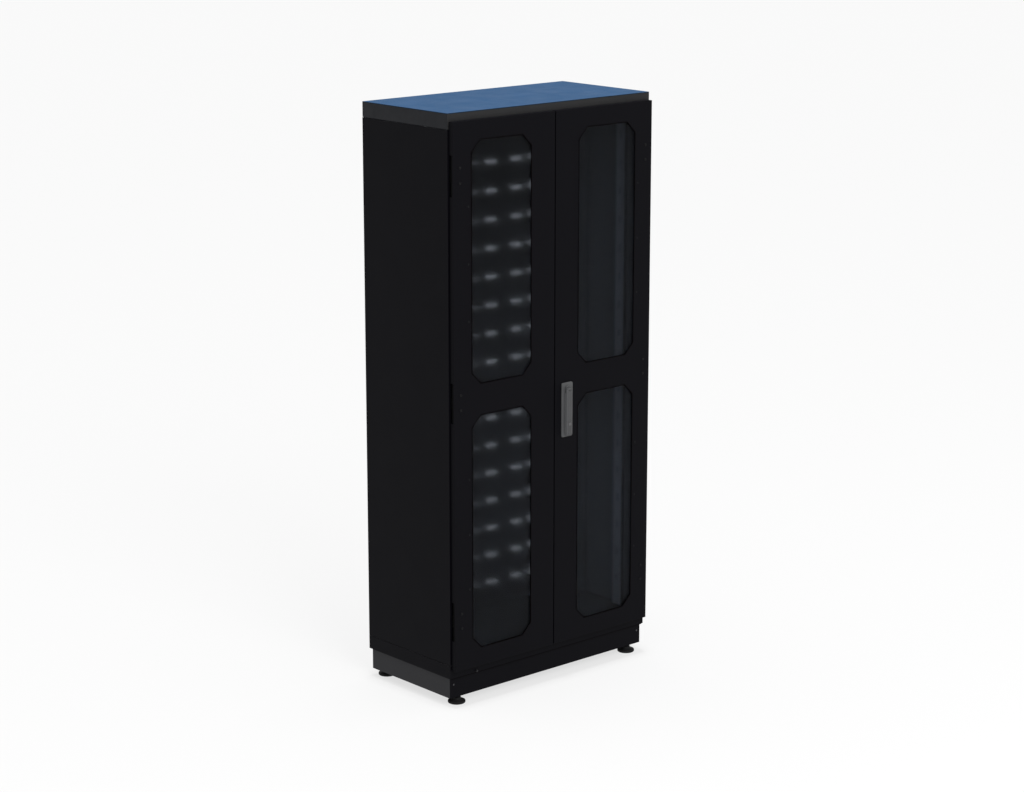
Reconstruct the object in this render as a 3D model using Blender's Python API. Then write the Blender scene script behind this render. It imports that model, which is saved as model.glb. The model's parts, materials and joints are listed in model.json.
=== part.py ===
"""An anti-static storage cabinet: sheet steel carcass on levelling feet, two windowed doors and a rod lock.

Cabinet coordinates, in metres: x is 0 at the middle, y is 0 at the front of the carcass and grows to the
back, z is 0 on the floor. The root empty then shifts everything so that the depth is centred on y = 0.
"""

import math

import bmesh
import bpy
from mathutils import Vector

# Overall size of the carcass and its sheet
CARCASS_WIDTH = 0.900
CARCASS_DEPTH = 0.435
TOTAL_HEIGHT = 2.000
SHEET = 0.0012
SEAT_GAP = 0.0003

# Top
TOP_PANEL_THICK = 0.049
TOP_MAT_THICK = 0.002
TOP_EDGE_ROUND = 0.0015

# Levelling feet
FOOT_LIFT = 0.028
FOOT_PAD_RADIUS = 0.030
FOOT_PAD_HEIGHT = 0.0085
FOOT_PAD_ROUND = 0.0015
FOOT_CONE_HEIGHT = 0.0065
FOOT_NECK_RADIUS = 0.0145
FOOT_NUT_RADIUS = 0.0125
FOOT_NUT_HEIGHT = 0.007
FOOT_STEM_RADIUS = 0.005
FOOT_STEM_RISE = 0.035
FOOT_STEM_PLAY = 0.0005
FOOT_SIDE_INSET = 0.053
FOOT_FRONT_INSET = 0.031
FOOT_BACK_INSET = 0.0302

# Plinth
PLINTH_HEIGHT = 0.072
PLINTH_SHEET = 0.0015
PLINTH_SIDE_INSET = 0.0064
PLINTH_FRONT_INSET = 0.0094
PLINTH_BACK_INSET = 0.0099
PLINTH_TOP_FLANGE = 0.020
PLINTH_FOOT_FLANGE = 0.075

# Base tray, whose upper face is the cabinet's floor
BASE_HEIGHT = 0.046
BASE_RETURN = 0.030

# Side panels
SIDE_FRONT_FLANGE = 0.028
SIDE_LIP = 0.015
SIDE_REAR_FLANGE = 0.015
SIDE_SEAM = 0.0018

# Slotted back panel
BACK_EDGE = 0.0126
BACK_RETURN = 0.015
SLOT_HEIGHT = 0.007
SLOT_LENGTH = 0.047
SLOT_SHORT = 0.010
SLOT_CENTRES = (0.111, 0.230, 0.3105)
SLOT_SHORT_CENTRE = 0.042
SLOT_PITCH = 0.1015
SLOT_FIRST_RISE = 0.078
SLOT_TOP_MARGIN = 0.050

# Roof panel, whose edge stands back to leave a shadow line under the top
ROOF_SIDE_INSET = 0.003
ROOF_DROP = 0.034
ROOF_RETURN = 0.030
ROOF_REAR_LIP = 0.020

# Uprights on the side walls
UPRIGHT_WIDTH = 0.040
UPRIGHT_DEPTH = 0.015
UPRIGHT_SHEET = 0.0015
UPRIGHT_FRONT = 0.101
UPRIGHT_SPACING = 0.190
UPRIGHT_SLOT_WIDTH = 0.005
UPRIGHT_SLOT_HEIGHT = 0.025
UPRIGHT_SLOT_PITCH = 0.100
UPRIGHT_TOP_MARGIN = 0.050

# Earthing stud
EARTH_SIDE_INSET = 0.1145
EARTH_RISE = 0.0054
EARTH_WASHER_RADIUS = 0.005
EARTH_WASHER_THICK = 0.0012
EARTH_NECK_RADIUS = 0.0032
EARTH_NECK_LENGTH = 0.002
EARTH_HEAD_RADIUS = 0.0042
EARTH_HEAD_LENGTH = 0.0025

# Doors
DOOR_DEPTH = 0.017
DOOR_STANDOFF = 0.0027
DOOR_SIDE_INSET = 0.0052
DOOR_GAP = 0.004
DOOR_OVER_TOP = 0.0245
DOOR_BELOW_FLOOR = 0.0175
DOOR_SHEET = 0.0012
DOOR_EDGE_ROUND = 0.001

# Windows with their seals, panes and retaining frames
WINDOW_HINGE_MARGIN = 0.079
WINDOW_LOCK_MARGIN = 0.105
WINDOW_END_MARGIN = 0.065
WINDOW_RAIL = 0.108
WINDOW_CHAMFER = 0.038
SEAL_THICK = 0.002
SEAL_SETBACK = 0.002
PANE_THICK = 0.004
PANE_LAP = 0.020
RETAINER_THICK = 0.002
RETAINER_SETBACK = 0.010

# Hinges
HINGE_SPREAD = 0.748
HINGE_HEIGHT = 0.128
HINGE_PLATE_THICK = 0.002
HINGE_LEAF_REACH = 0.038
HINGE_LEAF_OVERHANG = 0.0035
HINGE_WEB_THICK = 0.005
HINGE_BRACKET_HEIGHT = 0.100
HINGE_ARM_THICK = 0.004
PIVOT_EDGE = 0.0052
KNUCKLE_RADIUS = 0.0045
KNUCKLE_HEIGHT = 0.0394
PIN_RADIUS = 0.0025
PIN_PLAY = 0.0003
ARM_PLAY = 0.0005
HINGE_NOTCH_MARGIN = 0.003
HINGE_NOTCH_LIP = 0.003

# Handle on the right door
LOCK_SETBACK = 0.053
HANDLE_DROP = 0.002
HOUSING_WIDTH = 0.050
HOUSING_HEIGHT = 0.189
HOUSING_DEPTH = 0.004
HOUSING_CORNER = 0.007
HOUSING_EDGE = 0.0012
SPINDLE_DROP = 0.022
SPINDLE_RADIUS = 0.006
SPINDLE_PLAY = 0.0003
HUB_RADIUS = 0.011
HUB_THICK = 0.004
TONGUE_WIDTH = 0.009
TONGUE_RADIUS = 0.0041
LEVER_WIDTH = 0.0215
LEVER_LENGTH = 0.161
LEVER_HEAD_THICK = 0.0092
LEVER_PLAY = 0.0005
LEVER_STEP_CLEARANCE = 0.002
LEVER_NOSE = 0.005
LEVER_EDGE = 0.0045
LEVER_PIN_RADIUS = 0.0018
LEVER_PIN_COVER = 0.001
KEY_DROP = 0.121
KEY_RADIUS = 0.0055
KEY_PROUD = 0.0006
KEY_LENGTH = 0.011
KEYWAY_WIDTH = 0.0014
KEYWAY_HEIGHT = 0.007
KEYWAY_DEPTH = 0.0015

# Lock inside the right door
CASE_WIDTH = 0.050
CASE_HEIGHT = 0.070
CASE_DEPTH = 0.0232
CAM_THICK = 0.003
CAM_RADIUS = 0.0175
CAM_CRANK = 0.0127
CRANK_PIN_RADIUS = 0.0025
CRANK_PIN_PROUD = 0.001
CRANK_PIN_PLAY = 0.0007
ROD_WIDTH = 0.014
ROD_THICK = 0.004
ROD_TAIL = 0.008
KEEPER_GAP = 0.001
KEEPER_PLAY = 0.0007
GUIDE_WALL = 0.007
GUIDE_BACK_WALL = 0.003
GUIDE_HEIGHT = 0.020
GUIDE_PLAY = 0.0003
ROD_GUIDE_INSET = 0.100

# Hand bolts of the left door
BOLT_SETBACK = 0.030
BOLT_LENGTH = 0.150
BOLT_TAB_HEIGHT = 0.010
BOLT_TAB_REACH = 0.010
BOLT_GUIDE_INSET = 0.060

# How far cutters run past the faces that they open, and how fine round pieces are
CUT_PAST = 0.001
ROUND_SIDES = 24
SMALL_ROUND_SIDES = 16
CORNER_STEPS = 4
SMOOTH_ANGLE = math.radians(35)

# Finishes: linear colour, roughness, metallic
BLACK_PAINT = ((0.011, 0.011, 0.012), 0.45, 0.0)
GREY_PAINT = ((0.045, 0.045, 0.048), 0.45, 0.0)
EDGE_GREY = ((0.030, 0.030, 0.032), 0.50, 0.0)
BLUE_MAT = ((0.070, 0.160, 0.330), 0.60, 0.0)
HANDLE_GREY = ((0.090, 0.090, 0.095), 0.40, 0.0)
BLACK_RUBBER = ((0.008, 0.008, 0.008), 0.80, 0.0)
BLACK_PLASTIC = ((0.012, 0.012, 0.012), 0.50, 0.0)
FROSTED = ((0.800, 0.820, 0.830), 0.35, 0.0)
ZINC = ((0.550, 0.560, 0.570), 0.35, 1.0)
BRIGHT_STEEL = ((0.700, 0.700, 0.710), 0.25, 1.0)

# Heights
MAT_BOTTOM = TOTAL_HEIGHT - TOP_MAT_THICK
PANEL_TOP = MAT_BOTTOM - SEAT_GAP
PANEL_BOTTOM = PANEL_TOP - TOP_PANEL_THICK
ROOF_TOP = PANEL_BOTTOM - SEAT_GAP
ROOF_BOTTOM = ROOF_TOP - ROOF_DROP
CARCASS_TOP = ROOF_TOP - SHEET - SEAT_GAP
PLINTH_TOP = FOOT_LIFT + PLINTH_HEIGHT
BASE_BOTTOM = PLINTH_TOP + SEAT_GAP
FLOOR = BASE_BOTTOM + BASE_HEIGHT
CARCASS_BOTTOM = FLOOR + SEAT_GAP

# Rows of slots that fit between the floor and the top
SLOT_ROOM = CARCASS_TOP - FLOOR - SLOT_FIRST_RISE - SLOT_TOP_MARGIN
SLOT_ROWS = 1 + int(SLOT_ROOM / SLOT_PITCH)
UPRIGHT_SLOT_ROWS = int((CARCASS_TOP - FLOOR - UPRIGHT_TOP_MARGIN) / UPRIGHT_SLOT_PITCH)

# Widths and depths of the carcass
HALF_WIDTH = CARCASS_WIDTH / 2
PLINTH_HALF = HALF_WIDTH - PLINTH_SIDE_INSET
PLINTH_FRONT = PLINTH_FRONT_INSET
PLINTH_BACK = CARCASS_DEPTH - PLINTH_BACK_INSET
SIDE_BACK = CARCASS_DEPTH - BACK_EDGE - SEAT_GAP
ROOF_HALF = HALF_WIDTH - SIDE_FRONT_FLANGE - SEAT_GAP
BACK_INNER = CARCASS_DEPTH - SHEET

# Door faces and the hinge line
DOOR_FRONT = -DOOR_STANDOFF - DOOR_DEPTH
DOOR_BACK = -DOOR_STANDOFF
DOOR_OUTER = HALF_WIDTH - DOOR_SIDE_INSET
DOOR_INNER = DOOR_GAP / 2
DOOR_BOTTOM = FLOOR - DOOR_BELOW_FLOOR
DOOR_TOP = PANEL_BOTTOM + DOOR_OVER_TOP
DOOR_MIDDLE = (DOOR_BOTTOM + DOOR_TOP) / 2
SKIN_BACK = DOOR_FRONT + DOOR_SHEET
PIVOT_X = DOOR_OUTER - PIVOT_EDGE
PIVOT_Y = (DOOR_FRONT + DOOR_BACK) / 2

# Handle, from the door face forwards
LOCK_X = DOOR_INNER + LOCK_SETBACK
HANDLE_TOP = DOOR_MIDDLE - HANDLE_DROP
SPINDLE_Z = HANDLE_TOP - SPINDLE_DROP
HOUSING_BACK = DOOR_FRONT - SEAT_GAP
HOUSING_FRONT = HOUSING_BACK - HOUSING_DEPTH
HUB_BACK = HOUSING_FRONT - SEAT_GAP
HUB_FRONT = HUB_BACK - HUB_THICK
LEVER_BACK = HOUSING_FRONT - LEVER_PLAY
LEVER_HEAD_BACK = HUB_FRONT - LEVER_PLAY
LEVER_FRONT = LEVER_HEAD_BACK - LEVER_HEAD_THICK
SWING_Y = (LEVER_HEAD_BACK + LEVER_FRONT) / 2
KEY_Z = SPINDLE_Z - KEY_DROP

# Lock, from the door skin backwards
CASE_FRONT = SKIN_BACK + SEAT_GAP
CASE_BACK = CASE_FRONT + CASE_DEPTH
CAM_FRONT = CASE_BACK + SEAT_GAP
CAM_BACK = CAM_FRONT + CAM_THICK
ROD_FRONT = CAM_BACK + SEAT_GAP
ROD_BACK = ROD_FRONT + ROD_THICK
ROD_TOP = ROOF_BOTTOM - KEEPER_GAP
ROD_BOTTOM = FLOOR + KEEPER_GAP
BOLT_X = -(DOOR_INNER + BOLT_SETBACK)

# The crank pins start 45 degrees above and below the level line and end as far past it
CRANK_RISE = CAM_CRANK * math.sqrt(0.5)
ROD_OFFSET = (CAM_CRANK + CRANK_RISE) / 2
CRANK_SWAY = (CAM_CRANK - CRANK_RISE) / 2
UPPER_ROD_X = LOCK_X - ROD_OFFSET
LOWER_ROD_X = LOCK_X + ROD_OFFSET

# The depth runs from the lever, or the key where it stands further out, to the back panel
FRAME_SHIFT = -(LEVER_FRONT - KEY_PROUD + CARCASS_DEPTH) / 2

SIDES = {"left": -1, "right": 1}
HINGE_LEVELS = {
    "upper": DOOR_MIDDLE + HINGE_SPREAD,
    "middle": DOOR_MIDDLE,
    "lower": DOOR_MIDDLE - HINGE_SPREAD,
}


# Scene helpers


class Holder:
    """An empty that carries pieces, at a point in cabinet coordinates."""

    def __init__(self, name, point, parent=None):
        self.point = Vector(point)
        self.empty = bpy.data.objects.new(name, None)
        bpy.context.scene.collection.objects.link(self.empty)
        if parent is None:
            self.empty.location = self.point + Vector((0, FRAME_SHIFT, 0))
        else:
            self.empty.parent = parent.empty
            self.empty.location = self.point - parent.point


def clear_scene():
    for thing in list(bpy.data.objects):
        bpy.data.objects.remove(thing, do_unlink=True)


def finish_for(name, finish):
    colour, roughness, metallic = finish
    material = bpy.data.materials.new(name + "_finish")
    material.use_nodes = True
    shader = material.node_tree.nodes["Principled BSDF"]
    shader.inputs["Base Color"].default_value = (*colour, 1)
    shader.inputs["Roughness"].default_value = roughness
    shader.inputs["Metallic"].default_value = metallic
    material.diffuse_color = (*colour, 1)
    return material


def hold(name, shape, holder):
    """Makes an object of a shape drawn in cabinet coordinates, carried by a holder."""
    bmesh.ops.recalc_face_normals(shape, faces=shape.faces)
    bmesh.ops.translate(shape, verts=shape.verts, vec=-holder.point)
    mesh = bpy.data.meshes.new(name)
    shape.to_mesh(mesh)
    shape.free()
    thing = bpy.data.objects.new(name, mesh)
    bpy.context.scene.collection.objects.link(thing)
    thing.parent = holder.empty
    return thing


def piece(name, shape, holder, finish):
    thing = hold(name, shape, holder)
    thing.data.shade_smooth()
    thing.data.set_sharp_from_angle(angle=SMOOTH_ANGLE)
    thing.data.materials.append(finish_for(name, finish))
    return thing


def combine(target, holder, operation, shape):
    """Joins a shape to a piece, or cuts it out, with a Boolean on a hidden helper."""
    helper = hold(target.name + "_" + operation.lower(), shape, holder)
    helper.hide_render = True
    helper.display_type = "WIRE"
    modifier = target.modifiers.new(operation.title(), "BOOLEAN")
    modifier.operation = operation
    modifier.object = helper


def cut(target, holder, shape):
    combine(target, holder, "DIFFERENCE", shape)


def join(target, holder, shape):
    combine(target, holder, "UNION", shape)


# Shape helpers


def placed(axis, first, second, along):
    """The point with two coordinates across an axis and one along it."""
    point = [first, second]
    point.insert("XYZ".index(axis), along)
    return point


def add_prism(shape, axis, outline, start, end):
    near = [shape.verts.new(placed(axis, *point, start)) for point in outline]
    far = [shape.verts.new(placed(axis, *point, end)) for point in outline]
    shape.faces.new(near)
    shape.faces.new(far)
    for here in range(len(outline)):
        there = (here + 1) % len(outline)
        shape.faces.new((near[here], near[there], far[there], far[here]))


def prism(axis, outline, start, end):
    shape = bmesh.new()
    add_prism(shape, axis, outline, start, end)
    return shape


def add_block(shape, x_range, y_range, z_range):
    add_prism(shape, "Z", rectangle(x_range, y_range), *z_range)


def block(x_range, y_range, z_range):
    shape = bmesh.new()
    add_block(shape, x_range, y_range, z_range)
    return shape


def rectangle(first_range, second_range):
    (a, b), (c, d) = sorted(first_range), sorted(second_range)
    return [(a, c), (b, c), (b, d), (a, d)]


def about(middle, size):
    return (middle - size / 2, middle + size / 2)


def arc(centre, radius, start, end, steps):
    angles = [math.radians(start + (end - start) * step / steps) for step in range(steps + 1)]
    return [(centre[0] + radius * math.cos(a), centre[1] + radius * math.sin(a)) for a in angles]


def circle(centre, radius, sides):
    return arc(centre, radius, 0, 360, sides)[:-1]


def rounded_rectangle(first_range, second_range, radius):
    (a, b), (c, d) = sorted(first_range), sorted(second_range)
    corners = [(b - radius, d - radius), (a + radius, d - radius)]
    corners += [(a + radius, c + radius), (b - radius, c + radius)]
    outline = []
    for turn, corner in enumerate(corners):
        outline += arc(corner, radius, 90 * turn, 90 * turn + 90, CORNER_STEPS)
    return outline


def chamfered(x_range, z_range, chamfer, grow):
    """A window's outline with 45 degree corners, moved out by grow on every side."""
    (a, b), (c, d) = sorted(x_range), sorted(z_range)
    a, b, c, d = a - grow, b + grow, c - grow, d + grow
    leg = chamfer + grow * (2 - math.sqrt(2))
    lower = [(a, c + leg), (a + leg, c), (b - leg, c), (b, c + leg)]
    upper = [(b, d - leg), (b - leg, d), (a + leg, d), (a, d - leg)]
    return lower + upper


def turned(axis, centre, profile, sides):
    """A turned solid. The profile is (radius, place along the axis) and starts and ends on the axis."""
    shape = bmesh.new()
    rings = []
    for radius, along in profile:
        if radius:
            outline = circle(centre, radius, sides)
        else:
            outline = [centre]
        rings.append([shape.verts.new(placed(axis, *point, along)) for point in outline])
    for near, far in zip(rings, rings[1:]):
        for here in range(sides):
            there = (here + 1) % sides
            corners = {near[here % len(near)]: 0, near[there % len(near)]: 0}
            corners.update({far[there % len(far)]: 0, far[here % len(far)]: 0})
            shape.faces.new(list(corners))
    return shape


def mirrored(side, outline):
    return [(side * first, second) for first, second in outline]


def span(side, low, high):
    """A range of x on one side of the cabinet, given as distances from the middle."""
    return sorted((side * low, side * high))


# Carcass


def top(holder):
    x_range = about(0, CARCASS_WIDTH)
    y_range = (0, CARCASS_DEPTH)
    shape = block(x_range, y_range, (PANEL_BOTTOM, PANEL_TOP))
    upright_edges = [edge for edge in shape.edges if edge.verts[0].co.xy == edge.verts[1].co.xy]
    bmesh.ops.bevel(
        shape, geom=upright_edges, offset=TOP_EDGE_ROUND, segments=2, profile=0.5, affect="EDGES"
    )
    piece("top_panel", shape, holder, EDGE_GREY)
    outline = rounded_rectangle(x_range, y_range, TOP_EDGE_ROUND)
    piece("top_mat", prism("Z", outline, MAT_BOTTOM, TOTAL_HEIGHT), holder, BLUE_MAT)


def keeper_hole(rod_x, z_range):
    """The hole that the tip of a lock rod or bolt enters, with play all round."""
    y_range = (ROD_FRONT - KEEPER_PLAY, ROD_BACK + KEEPER_PLAY)
    return block(about(rod_x, ROD_WIDTH + 2 * KEEPER_PLAY), y_range, z_range)


def roof_panel(holder):
    """A sheet on the side panels, with a folded front rail between them and a lip at the back."""
    back = BACK_INNER - SEAT_GAP
    fold = ROOF_TOP - SHEET / 2
    sheet_x = about(0, CARCASS_WIDTH - 2 * ROOF_SIDE_INSET)
    sheet = block(sheet_x, (SHEET / 2, back - SHEET / 2), (ROOF_TOP - SHEET, ROOF_TOP))
    roof = piece("roof_panel", sheet, holder, BLACK_PAINT)
    rail = [(0, ROOF_BOTTOM), (0, fold), (SHEET, fold), (SHEET, ROOF_BOTTOM + SHEET)]
    rail += [(ROOF_RETURN, ROOF_BOTTOM + SHEET), (ROOF_RETURN, ROOF_BOTTOM)]
    join(roof, holder, prism("X", rail, -ROOF_HALF, ROOF_HALF))
    lip_x = about(0, CARCASS_WIDTH - 2 * (BACK_RETURN + SEAT_GAP))
    join(roof, holder, block(lip_x, (back - SHEET, back), (ROOF_TOP - ROOF_REAR_LIP, fold)))
    for rod_x in (UPPER_ROD_X, BOLT_X):
        cut(roof, holder, keeper_hole(rod_x, about(ROOF_BOTTOM, 4 * SHEET)))


def side_panel(name, side, holder):
    inner = HALF_WIDTH - SIDE_FRONT_FLANGE
    outline = [(HALF_WIDTH, 0), (HALF_WIDTH, SIDE_BACK), (HALF_WIDTH - SIDE_REAR_FLANGE, SIDE_BACK)]
    outline += [(HALF_WIDTH - SIDE_REAR_FLANGE, SIDE_BACK - SHEET), (HALF_WIDTH - SHEET, SIDE_BACK - SHEET)]
    outline += [(HALF_WIDTH - SHEET, SHEET), (inner + SHEET, SHEET), (inner + SHEET, SIDE_LIP)]
    outline += [(inner, SIDE_LIP), (inner, 0)]
    shape = prism("Z", mirrored(side, outline), FLOOR + SIDE_SEAM, CARCASS_TOP)
    panel = piece(name + "_side_panel", shape, holder, BLACK_PAINT)
    slots = bmesh.new()
    for level in HINGE_LEVELS.values():
        x_range = about(side * PIVOT_X, HINGE_ARM_THICK + 2 * ARM_PLAY)
        add_block(slots, x_range, about(0, 4 * SHEET), about(level, KNUCKLE_HEIGHT + 2 * ARM_PLAY))
    cut(panel, holder, slots)


def back_panel(holder):
    front = CARCASS_DEPTH - BACK_EDGE
    half = [(HALF_WIDTH - SHEET, BACK_INNER), (HALF_WIDTH - SHEET, front + SHEET)]
    half += [(HALF_WIDTH - BACK_RETURN, front + SHEET), (HALF_WIDTH - BACK_RETURN, front)]
    half += [(HALF_WIDTH, front), (HALF_WIDTH, CARCASS_DEPTH)]
    outline = half + mirrored(-1, half)[::-1]
    panel = piece("back_panel", prism("Z", outline, CARCASS_BOTTOM, CARCASS_TOP), holder, BLACK_PAINT)
    columns = [(side * centre, SLOT_LENGTH) for centre in SLOT_CENTRES for side in SIDES.values()]
    columns += [(side * SLOT_SHORT_CENTRE, SLOT_SHORT) for side in SIDES.values()]
    slots = bmesh.new()
    for row in range(SLOT_ROWS):
        level = FLOOR + SLOT_FIRST_RISE + row * SLOT_PITCH
        for centre, length in columns:
            y_range = (BACK_INNER - CUT_PAST, CARCASS_DEPTH + CUT_PAST)
            add_block(slots, about(centre, length), y_range, about(level, SLOT_HEIGHT))
    cut(panel, holder, slots)


def base_tray(holder):
    tray = piece(
        "base_tray",
        block(about(0, CARCASS_WIDTH), (0, CARCASS_DEPTH), (BASE_BOTTOM, FLOOR)),
        holder,
        BLACK_PAINT,
    )
    hollow_x = about(0, CARCASS_WIDTH - 2 * SHEET)
    cut(tray, holder, block(hollow_x, (SHEET, BACK_INNER), (BASE_BOTTOM + SHEET, FLOOR - SHEET)))
    open_y = (BASE_RETURN, CARCASS_DEPTH - BASE_RETURN)
    open_x = about(0, CARCASS_WIDTH - 2 * BASE_RETURN)
    cut(tray, holder, block(open_x, open_y, about(BASE_BOTTOM, 4 * SHEET)))
    for rod_x in (LOWER_ROD_X, BOLT_X):
        cut(tray, holder, keeper_hole(rod_x, about(FLOOR, 4 * SHEET)))


def plinth_side(name, side, holder):
    inner = PLINTH_HALF - PLINTH_SHEET
    top_edge = PLINTH_HALF - PLINTH_TOP_FLANGE
    foot_edge = PLINTH_HALF - PLINTH_FOOT_FLANGE
    under_top = PLINTH_TOP - PLINTH_SHEET
    over_foot = FOOT_LIFT + PLINTH_SHEET
    outline = [(PLINTH_HALF, FOOT_LIFT), (PLINTH_HALF, PLINTH_TOP), (top_edge, PLINTH_TOP)]
    outline += [(top_edge, under_top), (inner, under_top), (inner, over_foot)]
    outline += [(foot_edge, over_foot), (foot_edge, FOOT_LIFT)]
    start = PLINTH_FRONT + PLINTH_SHEET + SEAT_GAP
    end = PLINTH_BACK - PLINTH_SHEET - SEAT_GAP
    shape = prism("Y", mirrored(side, outline), start, end)
    channel = piece("plinth_" + name, shape, holder, GREY_PAINT)
    holes = bmesh.new()
    for x, y in foot_places(side).values():
        outline = circle((x, y), FOOT_STEM_RADIUS + FOOT_STEM_PLAY, SMALL_ROUND_SIDES)
        add_prism(holes, "Z", outline, FOOT_LIFT - CUT_PAST, over_foot + CUT_PAST)
    cut(channel, holder, holes)


def plinth_end(name, face, inward, holder):
    """The front or back of the plinth, with a flange under the base between those of the sides."""
    sheet_y = (face, face + inward * PLINTH_SHEET)
    shape = block(about(0, 2 * PLINTH_HALF), sheet_y, (FOOT_LIFT, PLINTH_TOP))
    cover = piece("plinth_" + name, shape, holder, BLACK_PAINT)
    flange_half = PLINTH_HALF - PLINTH_TOP_FLANGE - SEAT_GAP
    flange_y = (face, face + inward * PLINTH_TOP_FLANGE)
    join(cover, holder, block(about(0, 2 * flange_half), flange_y, (PLINTH_TOP - PLINTH_SHEET, PLINTH_TOP)))


def foot_places(side):
    x = side * (HALF_WIDTH - FOOT_SIDE_INSET)
    return {"front": (x, FOOT_FRONT_INSET), "rear": (x, CARCASS_DEPTH - FOOT_BACK_INSET)}


def foot(name, place, holder):
    axis = Holder(name + "_axis", (*place, 0), holder)
    cone_top = FOOT_PAD_HEIGHT + FOOT_CONE_HEIGHT
    nut_top = FOOT_LIFT - SEAT_GAP
    nut_bottom = nut_top - FOOT_NUT_HEIGHT
    stem_top = FOOT_LIFT + FOOT_STEM_RISE
    profile = [(0, 0), (FOOT_PAD_RADIUS - FOOT_PAD_ROUND, 0), (FOOT_PAD_RADIUS, FOOT_PAD_ROUND)]
    profile += [(FOOT_PAD_RADIUS, FOOT_PAD_HEIGHT), (FOOT_NECK_RADIUS, cone_top)]
    profile += [(FOOT_NECK_RADIUS, nut_bottom), (FOOT_NUT_RADIUS, nut_bottom), (FOOT_NUT_RADIUS, nut_top)]
    profile += [(FOOT_STEM_RADIUS, nut_top), (FOOT_STEM_RADIUS, stem_top), (0, stem_top)]
    piece(name, turned("Z", place, profile, ROUND_SIDES), axis, BLACK_PLASTIC)


def upright(name, side, front, holder):
    wall = HALF_WIDTH - SHEET - SEAT_GAP
    web = wall - UPRIGHT_DEPTH
    back = front + UPRIGHT_WIDTH
    outline = [(wall, front), (web, front), (web, back), (wall, back), (wall, back - UPRIGHT_SHEET)]
    outline += [(web + UPRIGHT_SHEET, back - UPRIGHT_SHEET), (web + UPRIGHT_SHEET, front + UPRIGHT_SHEET)]
    outline += [(wall, front + UPRIGHT_SHEET)]
    shape = prism("Z", mirrored(side, outline), CARCASS_BOTTOM, CARCASS_TOP)
    channel = piece(name, shape, holder, GREY_PAINT)
    slots = bmesh.new()
    for row in range(UPRIGHT_SLOT_ROWS):
        level = FLOOR + (row + 1) * UPRIGHT_SLOT_PITCH
        x_range = span(side, web - CUT_PAST, web + UPRIGHT_SHEET + CUT_PAST)
        y_range = about((front + back) / 2, UPRIGHT_SLOT_WIDTH)
        add_block(slots, x_range, y_range, about(level, UPRIGHT_SLOT_HEIGHT))
    cut(channel, holder, slots)


def earth_stud(holder):
    washer_front = -SEAT_GAP - EARTH_WASHER_THICK
    neck_front = washer_front - EARTH_NECK_LENGTH
    head_front = neck_front - EARTH_HEAD_LENGTH
    profile = [(0, -SEAT_GAP), (EARTH_WASHER_RADIUS, -SEAT_GAP), (EARTH_WASHER_RADIUS, washer_front)]
    profile += [(EARTH_NECK_RADIUS, washer_front), (EARTH_NECK_RADIUS, neck_front)]
    profile += [(EARTH_HEAD_RADIUS, neck_front), (EARTH_NECK_RADIUS, head_front), (0, head_front)]
    centre = (EARTH_SIDE_INSET - HALF_WIDTH, BASE_BOTTOM + EARTH_RISE)
    piece("earth_stud", turned("Y", centre, profile, SMALL_ROUND_SIDES), holder, BRIGHT_STEEL)


# Hinges


def hinge_round(x, radius, z_range):
    return prism("Z", circle((x, PIVOT_Y), radius, SMALL_ROUND_SIDES), *z_range)


def hinge_bracket(name, side, level, holder):
    """The carcass half: a plate behind the front flange, an arm through it, a knuckle and the pin."""
    x = side * PIVOT_X
    plate_front = SHEET + SEAT_GAP
    plate_back = plate_front + HINGE_PLATE_THICK
    plate_inner = HALF_WIDTH - SIDE_FRONT_FLANGE + SHEET + SEAT_GAP
    plate_x = span(side, plate_inner, HALF_WIDTH - SHEET - SEAT_GAP)
    plate = block(plate_x, (plate_front, plate_back), about(level, HINGE_BRACKET_HEIGHT))
    bracket = piece(name + "_hinge_bracket", plate, holder, BLACK_PAINT)
    arm_y = (PIVOT_Y, plate_front + HINGE_PLATE_THICK / 2)
    arm_z = about(level, KNUCKLE_HEIGHT - 2 * SEAT_GAP)
    join(bracket, holder, block(about(x, HINGE_ARM_THICK), arm_y, arm_z))
    join(bracket, holder, hinge_round(x, KNUCKLE_RADIUS, about(level, KNUCKLE_HEIGHT)))
    join(bracket, holder, hinge_round(x, PIN_RADIUS, about(level, HINGE_HEIGHT)))


def hinge_leaf(name, side, level, holder):
    """The door half: a plate on the inside of the door skin and two knuckles that turn on the pin."""
    x = side * PIVOT_X
    plate_front = SKIN_BACK + SEAT_GAP
    plate_y = (plate_front, plate_front + HINGE_PLATE_THICK)
    plate_x = span(side, PIVOT_X - HINGE_LEAF_REACH, PIVOT_X + HINGE_LEAF_OVERHANG)
    plate = block(plate_x, plate_y, about(level, HINGE_HEIGHT))
    leaf = piece(name + "_hinge_leaf", plate, holder, BLACK_PAINT)
    knuckle_end = KNUCKLE_HEIGHT / 2 + SEAT_GAP
    for up in SIDES.values():
        barrel = sorted((level + up * knuckle_end, level + up * HINGE_HEIGHT / 2))
        web = (barrel[0] + SEAT_GAP, barrel[1] - SEAT_GAP)
        web_y = (plate_front + HINGE_PLATE_THICK / 2, PIVOT_Y)
        join(leaf, holder, block(about(x, HINGE_WEB_THICK), web_y, web))
        join(leaf, holder, hinge_round(x, KNUCKLE_RADIUS, barrel))
    bore = about(level, HINGE_HEIGHT + 2 * CUT_PAST)
    cut(leaf, holder, hinge_round(x, PIN_RADIUS + PIN_PLAY, bore))


# Doors


def window_ranges(side):
    """The x range shared by a door's windows, and the z range of each."""
    x_range = span(side, DOOR_INNER + WINDOW_LOCK_MARGIN, DOOR_OUTER - WINDOW_HINGE_MARGIN)
    lower = (DOOR_BOTTOM + WINDOW_END_MARGIN, DOOR_MIDDLE - WINDOW_RAIL / 2)
    upper = (DOOR_MIDDLE + WINDOW_RAIL / 2, DOOR_TOP - WINDOW_END_MARGIN)
    return x_range, {"lower": lower, "upper": upper}


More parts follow.
